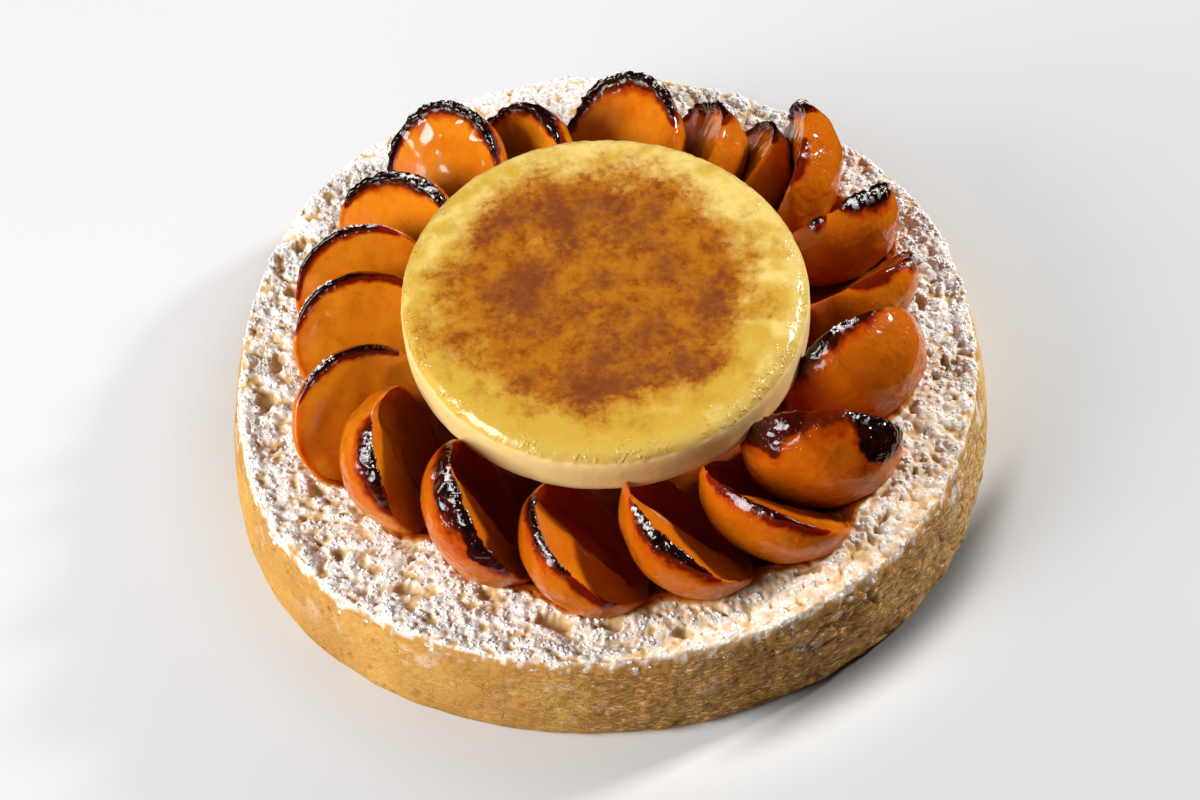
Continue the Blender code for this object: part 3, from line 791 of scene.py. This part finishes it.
# Sugar on the rims: (start, end) in degrees round the rim.
DUSTED = (((-10, 60),), ((60, 95),), ((10, 50), (98, 110)), ((0, 50),), ((0, 60),), ((0, 90),), ((-10, 60),),
          ((0, 100),), ((50, 115),), ((60, 100),), ((30, 70),), ((55, 85),), ((48, 76),), ((68, 98),),
          ((60, 85),), ((78, 106),), ((76, 94),), ((56, 68),), ((90, 110),))


def skin_profile(radius):
    """A half's skin from its middle to its rim."""
    slopes = [math.radians(band) for band in SKIN_BANDS]
    return [(radius * math.cos(turn), -HALF_DEPTH * radius * math.sin(turn)) for turn in slopes]


def half_profile():
    """A half's profile from the middle of its skin, round the rim, to the middle of the stone hollow."""
    return skin_profile(MODEL_RADIUS) + [(MODEL_RADIUS * share, height) for share, height in HOLLOW]


def bulk_profile():
    """The same half filled up to its rim, and a little larger, to press its neighbour back."""
    grown = MODEL_RADIUS + PRESS_MARGIN
    return skin_profile(grown) + [(0.965 * grown, PRESS_TOP), (0.004, PRESS_TOP)]


def arch(share):
    """1 in the middle and 0 from a share of 1 on, round between them."""
    return np.sqrt(np.clip(1.0 - share ** 2, 0.0, 1.0))


def hollowed(points, depth, direction, torn_open):
    """Make a model half's stone hollow shallower and move its middle off the half's own, or tear it open."""
    share = radius_of(points) / MODEL_RADIUS
    inner = (share < CUT_EDGE) & (points[:, 2] > 0.6 * (-HALF_DEPTH * MODEL_RADIUS * arch(share)))
    turn = math.radians(direction)
    middle = np.clip(1.0 - (share / CUT_EDGE) ** 2, 0.0, 1.0)
    shift = HOLLOW_SHIFT * MODEL_RADIUS * middle[:, None] * (math.sin(turn), math.cos(turn), 0.0)
    moved = points * np.stack([1.0 - HOLLOW_SHRUNK * middle] * 2 + [np.ones(len(points))], axis=1) + shift
    if depth < SOFT_HOLLOW:
        moved[:, 2] = -HOLLOW_DEPTH * depth * middle ** 1.5
    if torn_open:
        towards = points[:, :2] @ (math.sin(turn), math.cos(turn)) / MODEL_RADIUS
        towards += 0.10 * waviness(points, 0.0090, 81)
        moved = points.copy()
        moved[:, 2] = -0.0007 - 0.0050 * depth * blend(-0.12, 0.28, towards) * blend(CUT_EDGE, 0.70, share)
    return np.where(inner[:, None], moved, points)


def placed(name, data):
    """A new object in the scene."""
    thing = bpy.data.objects.new(name, data)
    bpy.context.scene.collection.objects.link(thing)
    return thing


def stood(model, half, name, uneven, seed, depth=1.0, direction=None, torn_open=False):
    """A copy of a model half, put in its place in the ring and made uneven."""
    piece = placed(name, model.data.copy())
    local = points_of(piece)
    if direction is not None:
        local = hollowed(local, depth, direction, torn_open)
    local *= half.radius / MODEL_RADIUS
    turn = np.arctan2(local[:, 0], local[:, 1])
    across = radius_of(local)
    spokes = np.outer(np.cos(turn), half.side) + np.outer(np.sin(turn), half.up)
    across += half.swelling(turn) * (across / half.radius) ** 2
    points = half.centre + across[:, None] * spokes + np.outer(local[:, 2], half.opening)
    push = rippled(points, (0.0008, 0.015, seed), (0.0003, 0.006, seed + 40))
    points += uneven * push[:, None] * spokes
    tip = 0.0007 * waviness(points, 0.012, seed + 80) * (across / half.radius)
    points += uneven * tip[:, None] * half.opening
    set_points(piece, points)
    return piece


def carved(piece, cutters):
    for cutter in cutters:
        finished_by(piece, "BOOLEAN", operation="DIFFERENCE", solver="MANIFOLD", object=cutter)


def largest_body(piece):
    """Drop the scraps that a cut leaves beside the main body."""
    pick(piece)
    bpy.ops.object.mode_set(mode="EDIT")
    bpy.ops.mesh.select_all(action="SELECT")
    bpy.ops.mesh.separate(type="LOOSE")
    bpy.ops.object.mode_set(mode="OBJECT")
    bodies = sorted(bpy.context.selected_objects, key=lambda body: len(body.data.vertices))
    name = piece.name
    for scrap in bodies[:-1]:
        scrap.name = "scrap"
        bpy.data.objects.remove(scrap)
    bodies[-1].name = name
    return bodies[-1]


def roast(piece, half, index, ripeness, seed):
    """Pucker the skin, puff and curl the charred rim, and mark char, toast, hollow and sugar."""
    points = points_of(piece)
    normals = normals_of(piece)
    turn, across, depth = half.measured(points)
    degrees = np.degrees(turn)
    radius = half.radius + half.swelling(turn)
    behind = np.maximum(depth, 0.0)
    outside = blend(0.90, 0.96, np.hypot(across / radius, behind / (HALF_DEPTH * half.radius)))
    inside = 1.0 - outside
    down_skin = behind + 0.0009
    onto_cut = np.maximum(radius - 0.0011 - across, 0.0) + behind * 0.6
    ragged = rippled(points, (0.20, 0.0040, seed + 3), (0.12, 0.0014, seed + 4))
    char, toast, lift = np.zeros((3, len(points)))
    for burn in BURNS[index]:
        along = round_from(burn.middle, degrees) / burn.span
        away = outside * down_skin / burn.skin + inside * onto_cut / burn.cut
        away = away / np.maximum(arch(along), 0.05) / (1.0 + 0.5 * waviness(points, 0.0110, seed + 13)) + ragged
        fringe = outside * down_skin / (burn.skin + 0.0035) + inside * onto_cut / (burn.cut + 0.0022)
        fringe = fringe / np.maximum(arch(0.9 * along), 0.05) + ragged
        char = np.maximum(char, burn.tone * blend(1.15, 0.75, away))
        toast = np.maximum(toast, burn.tone * blend(1.15, 0.25, fringe))
        lift = np.maximum(lift, burn.rise * blend(1.1, 0.3, away))
    knots = 0.55 + 0.9 * np.maximum(0.0, 1.0 - 2.2 * np.abs(waviness(points, 0.0034, seed + 5)))
    blisters = np.maximum(0.0, waviness(points, 0.0018, seed + 6))
    relief = lift * (0.8 * knots + 0.4 * blisters - 0.30)
    pucker = rippled(points, (0.00022, 0.0060, seed + 7), (0.00004, 0.0024, seed + 8))
    stretched = np.stack([half.radius * turn, 0.25 * across, 0.25 * depth], axis=1)
    folds = np.maximum(0.0, 1.0 - 2.0 * np.abs(waviness(stretched, 0.0042, seed + 9)))
    near_rim = blend(0.010, 0.001, np.minimum(down_skin, onto_cut + 9.0 * outside))
    relief += pucker - 0.00022 * folds * near_rim * toast * outside
    if index in CREASED:
        # These creases run over the cut face to the rim.
        bent = stretched + 0.0016 * waviness(points, 0.0050, seed + 11)[:, None]
        creases = waviness(bent, 0.0072, seed + 10) * blend(-0.3, 0.3, waviness(points, 0.009, seed + 12))
        relief += CREASE_DEPTH * creases * inside * blend(0.25, 0.75, across / radius)
    curl = lift * blend(0.0035, 0.0, onto_cut) * 0.5
    points += normals * relief[:, None] + np.outer(curl, half.opening)
    set_points(piece, points)
    # Painted shade: the hollow mark paints the stone hollow deep red. This is partly the flesh's own colour and
    # partly the shade in it, strongest on the halves in shade under the disc.
    cupped = 0.25 * blend(0.0, 0.0024, depth) + 0.75 * blend(0.0018, 0.0042, depth)
    hollow = ripeness * inside * cupped
    # On the torn-open front halves the painted red shade spreads over the cut face towards one side.
    if index in TORN_OPEN:
        towards = across / radius * np.cos(turn - math.radians(HOLLOWS[index][2]))
        hollow = np.maximum(hollow, ripeness * inside * blend(0.04, 0.42, towards + 0.4 * ragged))
    dust = np.zeros(len(points))
    for start, end in DUSTED[index]:
        dust += (degrees > start) & (degrees < end)
    dust *= blend(0.0034, 0.0008, np.minimum(down_skin + 9.0 * inside, onto_cut + 9.0 * outside + 0.001))
    # Less gloss near the crumb, where the skin would mirror too much of the sugar.
    foot = blend(CRUMB_HEIGHT + 0.0140, CRUMB_HEIGHT + 0.0030, points[:, 2])
    marked(piece, char=char, toast=toast, hollow=hollow, dust=dust, skin=outside, foot=foot,
           ripe=np.full(len(points), ripeness))


def apricot_finish():
    """Translucent orange flesh and skin under syrup, redder and darker with painted shade in the stone hollow,
    toasted and charred rims.
    """
    finish = Finish("roasted_apricot", subsurface_weight=0.6, subsurface_scale=0.0060,
                    subsurface_radius=(1.0, 0.25, 0.05), coat_roughness=0.035, coat_ior=1.35, ior=1.40,
                    specular_ior_level=0.28)
    step, noise, mark = finish.step, finish.noise, finish.mark
    mottles = noise(0.0030, detail=3.0, roughness=0.6)
    uneven = (mottles - 0.5) * 0.30
    skin, ripe, foot = mark("skin"), mark("ripe"), mark("foot")
    char, toast = mark("char"), mark("toast") + uneven
    burnt = step(char + uneven, 0.30, 0.80)
    freckles = step(noise(0.0011, detail=3.0, roughness=0.65), 0.52, 0.70)
    powder = mark("dust") * step(noise(0.0019, detail=3.0), 0.50, 0.62)
    colour = finish.layered(
        APRICOT_ORANGE,
        # Halves with more painted shade get fewer light patches and more dark amber skin.
        (step(noise(0.013, detail=3.0) - ripe * 0.30, 0.20, 0.52), APRICOT_LIGHT),
        (step(mottles, 0.48, 0.74) * 0.30, TOASTED_ORANGE),
        (freckles * (0.10 + skin * 0.30), TOASTED_ORANGE),
        # Painted shade: the hollow's deep red also darkens it where shade falls.
        (mark("hollow") * 0.92, APRICOT_RED_AND_SHADE),
        (skin * (ripe * 0.35 + 0.15), SKIN_AMBER),
        (step(toast, 0.02, 0.42), TOASTED_ORANGE),
        (step(toast, 0.30, 0.75), TOASTED_RED),
        (burnt, CHAR_BROWN),
        (step(char + uneven * 1.5, 0.78, 1.05), CHAR_BLACK),
        (powder * 0.85, SUGAR_WHITE))
    pimples = 1.0 - step(finish.cells(0.0012), 0.08, 0.36)
    peel = noise(0.0017, detail=0.5) * step(noise(0.0080), 0.42, 0.58)
    relief = peel * skin * 1.4 + pimples * (skin * 0.30 + 0.05) + noise(0.0055, detail=0.0) * 0.6
    relief = relief + noise(0.0014, detail=1.0) * burnt * 0.9
    finish.surface(base_color=colour, roughness=0.08 + mottles * 0.08 + foot * 0.22 + powder * 0.6,
                   coat_weight=(1.0 - foot) * (1.0 - powder) * 0.7, normal=finish.bump(relief, 0.0003, 0.8))
    return finish


half_model = refined(turned("half_model", HALF_SIDES, half_profile()), 2)
bulk_model = refined(turned("bulk_model", HALF_SIDES, bulk_profile()), 2)
bulks = [stood(bulk_model, half, "bulk", 0.0, 0) for half in HALVES]
roasted = apricot_finish()
apricots = []
for index, half in enumerate(HALVES):
    seed = 1000 * (index + 1)
    ripeness, depth, direction = HOLLOWS[index]
    apricot = stood(half_model, half, f"apricot_half_{index + 1:02d}", 1.0, seed, depth, direction,
                    index in TORN_OPEN)
    carved(apricot, [bulks[(index + step) % len(HALVES)] for step in (1, 2)])
    finished_by(apricot, "REMESH", mode="VOXEL", voxel_size=FRUIT_VOXEL)
    apricot = largest_body(apricot)
    finished_by(apricot, "SMOOTH", factor=0.5, iterations=3)
    roast(apricot, half, index, ripeness, seed)
    put_on(apricot, "roasted_apricot", roasted, f"apricot_{index + 1:02d}")
    apricots.append(apricot)
for guide in bulks + [half_model, bulk_model]:
    bpy.data.objects.remove(guide)


# ---- The custard disc ----------------------------------------------------------------------------
# Set vanilla custard, moulded as a thick disc and laid on the fruit. Its side is smooth and pale; its
# top was browned with a flame, which left a glossy yellow skin mottled with amber and brown.

DISC_RADIUS = 0.0524
DISC_THICKNESS = 0.0146
DISC_TOP = 0.0596
DISC_CENTRE = (0.0014, -0.0030)
DISC_TIP = 2.0
DISC_ROUND = 0.0046
DISC_SWELL = 0.0004
DISC_WAVES = ((2, 0.008, 1.2), (3, 0.006, -0.6))
DISC_SIDES = 46
CUSTARD_CREAM = (0.76, 0.55, 0.225)
CUSTARD_BUTTER = (0.73, 0.54, 0.165)
CUSTARD_YELLOW = (0.56, 0.345, 0.045)
CUSTARD_AMBER = (0.43, 0.150, 0.009)
CUSTARD_BROWN = (0.205, 0.038, 0.004)
CUSTARD_UMBER = (0.17, 0.038, 0.013)
CUSTARD_SCORCH = (0.07, 0.018, 0.005)
# The way in which the skin grows paler, per metre.
TOWARDS_BACK = (1.2, 3.4, 0.0)


def disc_profile():
    """The disc's profile from the middle of its underside, round the edge, to the middle of its top."""
    profile = [(0.004, -DISC_THICKNESS), (DISC_RADIUS - 0.0012, -DISC_THICKNESS)]
    profile += [(DISC_RADIUS, -DISC_THICKNESS + rise) for rise in (0.0011, 0.0045, 0.0075)]
    for degrees in (0.0, 30.0, 60.0, 90.0):
        turn = math.radians(degrees)
        profile.append((DISC_RADIUS - DISC_ROUND * (1.0 - math.cos(turn)), DISC_ROUND * (math.sin(turn) - 1.0)))
    shares = (0.86, 0.78, 0.68, 0.58, 0.48, 0.38, 0.28, 0.18, 0.08)
    return profile + [(share * DISC_RADIUS, DISC_SWELL * (1.0 - share * share)) for share in shares]


def set_custard(disc):
    """Waver the outline, pit and ripple the browned skin, mark it, and lay the disc in its place."""
    points = points_of(disc)
    angles = angles_of(points)
    waves = sum(depth * np.cos(count * angles + phase) for count, depth, phase in DISC_WAVES)
    points[:, :2] *= 1.0 + waves[:, None]
    normals = normals_of(disc)
    down = -points[:, 2]
    from_brown = np.hypot(points[:, 0] + 0.0015, points[:, 1] - 0.0010) / DISC_RADIUS
    skin = blend(0.0050, 0.0028, down)
    near_edge = blend(0.72, 0.97, radius_of(points) / DISC_RADIUS)
    ripples = 0.00014 * waviness(points, 0.0060, 61)
    ripples += 0.00007 * (1.0 + 1.6 * near_edge) * waviness(points, 0.0020, 62)
    pits = blend(0.34, 0.10, nearest(points, 0.0048, 63)[0]) * blend(0.0, 0.5, waviness(points, 0.012, 64))
    side = 0.00008 * waviness(points * (1.0, 1.0, 0.35), 0.0040, 65) + 0.00015 * waviness(points, 0.014, 66)
    points += normals * (skin * (ripples - 0.00018 * pits) + (1.0 - skin) * side)[:, None]
    tip = Matrix.Translation((*DISC_CENTRE, DISC_TOP)) @ Matrix.Rotation(math.radians(DISC_TIP), 4, "X")
    turn = np.array(tip.to_3x3())
    set_points(disc, points @ turn.T + np.array(tip.translation))
    line = 0.0032 + 0.0003 * waviness(points, 0.0060, 67) + 0.00015 * waviness(points, 0.0018, 68)
    marked(disc, browned_skin=blend(0.0, 0.0007, line - down), away=from_brown)


def custard_finish():
    """Pale smooth custard, and a glossy yellow skin with amber and brown clouds towards the middle."""
    finish = Finish("glazed_custard", subsurface_weight=0.25, subsurface_scale=0.004,
                    subsurface_radius=(1.0, 0.62, 0.25), coat_roughness=0.06, coat_ior=1.4,
                    specular_ior_level=0.3)
    step, noise = finish.step, finish.noise
    skin, away = finish.mark("browned_skin"), finish.mark("away")
    patches = noise(0.0085, detail=5.0, roughness=0.62)
    fine = noise(0.0019, detail=5.0, roughness=0.7)
    middle = 1.0 - step(away, 0.50, 1.04)
    heat = noise(0.026, detail=3.0) * 0.50 + patches * 0.60 + (fine - 0.5) * 0.30 + middle * 0.46
    back = finish.measured("DOT_PRODUCT", TOWARDS_BACK, "Value")
    rust = step(noise(0.0060, detail=5.0, roughness=0.7) + (fine - 0.5) * 0.3, 0.40, 0.72)
    haze = step(noise(0.0140, detail=4.0, roughness=0.6) + (fine - 0.5) * 0.2, 0.38, 0.66)
    scorched = finish.strokes(0.0060, 0.010) * step(noise(0.0050), 0.60, 0.68)
    browned = finish.layered(
        CUSTARD_YELLOW,
        (step(noise(0.0075, detail=4.0) + back, 0.42, 0.72), CUSTARD_BUTTER),
        (step(away, 0.88, 1.02) * 0.4, CUSTARD_BUTTER),
        (step(heat, 0.60, 0.94), CUSTARD_AMBER),
        (rust * step(heat, 0.68, 0.94) * 0.90, CUSTARD_BROWN),
        (haze * step(heat, 0.80, 1.00) * 0.85, CUSTARD_UMBER),
        (scorched * step(heat, 0.80, 0.95) * 0.7, CUSTARD_SCORCH))
    beads = step(noise(0.0013, detail=1.0), 0.48, 0.75) * step(noise(0.009), 0.42, 0.56)
    rim = step(away, 0.80, 0.98)
    relief = noise(0.0032, detail=3.0) * 0.9 + fine * 0.3 + beads * skin * (0.7 + rim * 0.9)
    finish.surface(base_color=finish.mix(skin, CUSTARD_CREAM, browned), roughness=0.46 - skin * 0.26,
                   coat_weight=skin * 0.25, normal=finish.bump(relief, 0.00032, 0.6))
    return finish


disc = turned("custard_disc_browned", DISC_SIDES, disc_profile())
refined(disc, 3)
set_custard(disc)
put_on(disc, "glazed_custard", custard_finish(), "custard_disc")


# ---- The icing sugar -----------------------------------------------------------------------------
# Icing sugar sifted over the cooled tart. It lies in small soft clumps on the crumb and the lip, and in
# specks on the charred rims.

CLUMP_SHAPES = 12
CLUMPS_ON_CRUMB = 8200
CLUMPS_ON_LIP = 1100
SPECKS_PER_HALF = 70
SUGAR_BRIGHT = (0.93, 0.915, 0.90)


def clump_shapes():
    """A few small irregular lumps, each as its points, and the triangles that they share."""
    bpy.ops.object.select_all(action="DESELECT")
    bpy.ops.mesh.primitive_ico_sphere_add(subdivisions=1, radius=1.0)
    ball = bpy.context.object
    corners = points_of(ball)
    faces = np.array([face.vertices[:] for face in ball.data.polygons])
    bpy.data.objects.remove(ball)
    draws = np.random.default_rng(71)
    shapes = []
    for _ in range(CLUMP_SHAPES):
        shapes.append(corners * draws.uniform(0.65, 1.15, (len(corners), 1)) * (1.0, 1.0, 0.75))
    return shapes, faces


def scattered(name, spots, sizes, seed):
    """One mesh of clumps that lie on spots, each turned its own way."""
    shapes, faces = clump_shapes()
    draws = np.random.default_rng(seed)
    points, triangles = [], []
    for number, (spot, size) in enumerate(zip(spots, sizes)):
        turn = draws.uniform(0.0, 2.0 * math.pi)
        cos, sin = math.cos(turn), math.sin(turn)
        spin = np.array(((cos, -sin, 0.0), (sin, cos, 0.0), (0.0, 0.0, 1.0)))
        shape = shapes[draws.integers(CLUMP_SHAPES)]
        points.append(spot + size * shape @ spin.T)
        triangles.append(faces + number * len(shape))
    mesh = bpy.data.meshes.new(name)
    mesh.from_pydata(np.concatenate(points), [], np.concatenate(triangles).tolist())
    return placed(name, mesh)


def mark_of(piece, name):
    values = np.empty(len(piece.data.vertices), np.float32)
    piece.data.attributes[name].data.foreach_get("value", values)
    return values


def spots_on(piece, chosen, count, draws):
    """Random points of a piece among the chosen ones."""
    return points_of(piece)[draws.choice(np.flatnonzero(chosen), count)]


def sift_sugar():
    draws = np.random.default_rng(72)
    on_lip = (mark_of(crust, "sugar") > 0.5) & (mark_of(crust, "lip") > 0.6)
    spots = np.concatenate([spots_on(filling, mark_of(filling, "sugar") > 0.55, CLUMPS_ON_CRUMB, draws),
                            spots_on(crust, on_lip, CLUMPS_ON_LIP, draws)])
    sizes = draws.uniform(0.00014, 0.00038, len(spots)) + 0.0005 * draws.random(len(spots)) ** 6
    return scattered("icing_sugar", spots, sizes, 73)


def dust_rims():
    draws = np.random.default_rng(74)
    spots = []
    for apricot in apricots:
        chosen = (mark_of(apricot, "dust") > 0.5) & (normals_of(apricot)[:, 2] > 0.1)
        if chosen.any():
            spots.append(spots_on(apricot, chosen, SPECKS_PER_HALF, draws))
    spots = np.concatenate(spots)
    sizes = draws.uniform(0.00006, 0.00020, len(spots)) + 0.0003 * draws.random(len(spots)) ** 8
    return scattered("sugar_on_rims", spots, sizes, 75)


def sugar_finish():
    """Dry white powder, very matt, with light going a little way in."""
    finish = Finish("icing_sugar", roughness=0.92, subsurface_weight=0.5, subsurface_scale=0.001,
                    subsurface_radius=(1.0, 0.95, 0.9), specular_ior_level=0.25)
    grain = finish.noise(0.0005)
    finish.surface(base_color=finish.mix(finish.step(grain, 0.3, 0.7), SUGAR_WHITE, SUGAR_BRIGHT),
                   normal=finish.bump(grain, 0.0001, 0.8))
    return finish


powder = sugar_finish()
put_on(sift_sugar(), "almond_filling", powder)
put_on(dust_rims(), "roasted_apricot", powder)


# ---- The camera, the floor and the light ---------------------------------------------------------
# A pale table top with no horizon in view, which glows with painted light and carries a painted contact shadow,
# a large soft light from the left front, a smaller, harder one from the back right, and a camera that looks
# down on the tart from in front, slightly rolled.

CAMERA_ELEVATION = 53.0
CAMERA_DISTANCE = 0.868
CAMERA_AIM = Vector((-0.0017, 0.0069, 0.0))
CAMERA_ROLL = -4.8
CAMERA_LENS = 96.0
CAMERA_SENSOR = 36.0
FLOOR_SIZE = 6.0
# The table's colours: well away from the tart, close to it, and in the painted contact shadow.
FLOOR_WHITE = (0.24, 0.24, 0.24)
FLOOR_NEAR = (0.64, 0.63, 0.62)
FLOOR_PAINTED_SHADOW = (0.15, 0.135, 0.125)
# Its glow, painted light from a table that is no lamp, at the back left and the front right, brighter at the
# back left. It starts this far from SHADE_CENTRE, so the table close to the tart doesn't glow, and is full at
# the second distance. It fades this way, over this far on either side of the middle.
FLOOR_GLOW = (0.585, 0.575, 0.575)
FLOOR_GLOW_FAR = (0.40, 0.395, 0.39)
GLOW_START, GLOW_FULL = 0.101, 0.128
FALL_OFF = (0.83, -0.55, 0.0)
FALL_OFF_REACH = 0.16
# The painted contact shadow lies on the front right, under the tart's edge: round this middle, towards this
# side, between these distances along it, and gone between the last two distances from the middle.
SHADE_CENTRE = (0.003, -0.003, 0.0)
SHADE_SIDE = (0.695, -0.719, 0.0)
SHADE_EDGE = (0.087, 0.099)
SHADE_START, SHADE_END = 0.097, 0.111
ROOM_COLOUR = (1.0, 0.99, 0.98, 1.0)
ROOM_STRENGTH = 0.10
# Each light's name, bearing from +X and height in degrees, distance, width and power in watts.
LIGHTS = (("window", 202.0, 32.0, 1.3, 0.62, 25.5), ("lamp", 24.0, 31.0, 1.2, 0.13, 17.5))


def look_from():
    elevation, roll = math.radians(CAMERA_ELEVATION), math.radians(CAMERA_ROLL)
    back = Vector((0.0, -math.cos(elevation), math.sin(elevation)))
    right = Vector((1.0, 0.0, 0.0))
    up = back.cross(right)
    turned_right = math.cos(roll) * right + math.sin(roll) * up
    turned_up = math.cos(roll) * up - math.sin(roll) * right
    view = Matrix((turned_right, turned_up, back)).transposed().to_4x4()
    return Matrix.Translation(CAMERA_AIM + CAMERA_DISTANCE * back) @ view


def add_camera():
    data = bpy.data.cameras.new("camera")
    data.lens = CAMERA_LENS
    data.sensor_width = CAMERA_SENSOR
    data.clip_start = 0.01
    camera = placed("camera", data)
    camera.matrix_world = look_from()
    bpy.context.scene.camera = camera


def add_light(name, azimuth, elevation, distance, size, power):
    """A square soft white light that faces the tart."""
    data = bpy.data.lights.new(name, "AREA")
    data.shape = "SQUARE"
    data.size = size
    data.energy = power
    light = placed(name, data)
    turn, rise = math.radians(azimuth), math.radians(elevation)
    away = Vector((math.cos(turn) * math.cos(rise), math.sin(turn) * math.cos(rise), math.sin(rise)))
    light.location = distance * away
    light.rotation_euler = away.to_track_quat("Z", "Y").to_euler()


def add_floor():
    bpy.ops.object.select_all(action="DESELECT")
    bpy.ops.mesh.primitive_plane_add(size=FLOOR_SIZE)
    floor = bpy.context.object
    floor.name = "floor"
    finish = Finish("floor", roughness=0.6, specular_ior_level=0.2, emission_strength=1.0)
    away = finish.measured("DISTANCE", SHADE_CENTRE, "Value")
    # Painted light: the table glows though it is no lamp, brighter at the back left and not at all close to the
    # tart.
    glow = finish.step(away, GLOW_START, GLOW_FULL)
    fading = finish.step(finish.measured("DOT_PRODUCT", FALL_OFF, "Value"), -FALL_OFF_REACH, FALL_OFF_REACH)
    lit = finish.mix(fading, FLOOR_GLOW, FLOOR_GLOW_FAR)
    # Painted shadow: a dark patch on the table under the tart's front right edge.
    shade = finish.step(finish.measured("DOT_PRODUCT", SHADE_SIDE, "Value"), *SHADE_EDGE)
    shade = shade * (1.0 - finish.step(away, SHADE_START, SHADE_END))
    shaded = finish.mix(shade, FLOOR_NEAR, FLOOR_PAINTED_SHADOW)
    finish.surface(base_color=finish.mix(glow, shaded, FLOOR_WHITE),
                   emission_color=finish.mix(glow, (0.0, 0.0, 0.0), lit))
    floor.data.materials.append(finish.material)
    # The syrup mirrors neither the table nor the room, only the lights and the tart.
    floor.visible_glossy = False


def light_the_room():
    world = bpy.data.worlds.new("room")
    bpy.context.scene.world = world
    world.use_nodes = True
    background = world.node_tree.nodes["Background"]
    background.inputs["Color"].default_value = ROOM_COLOUR
    background.inputs["Strength"].default_value = ROOM_STRENGTH
    world.cycles_visibility.glossy = False
    for light in LIGHTS:
        add_light(*light)
    bpy.context.scene.view_settings.view_transform = "Standard"


add_camera()
add_floor()
light_the_room()
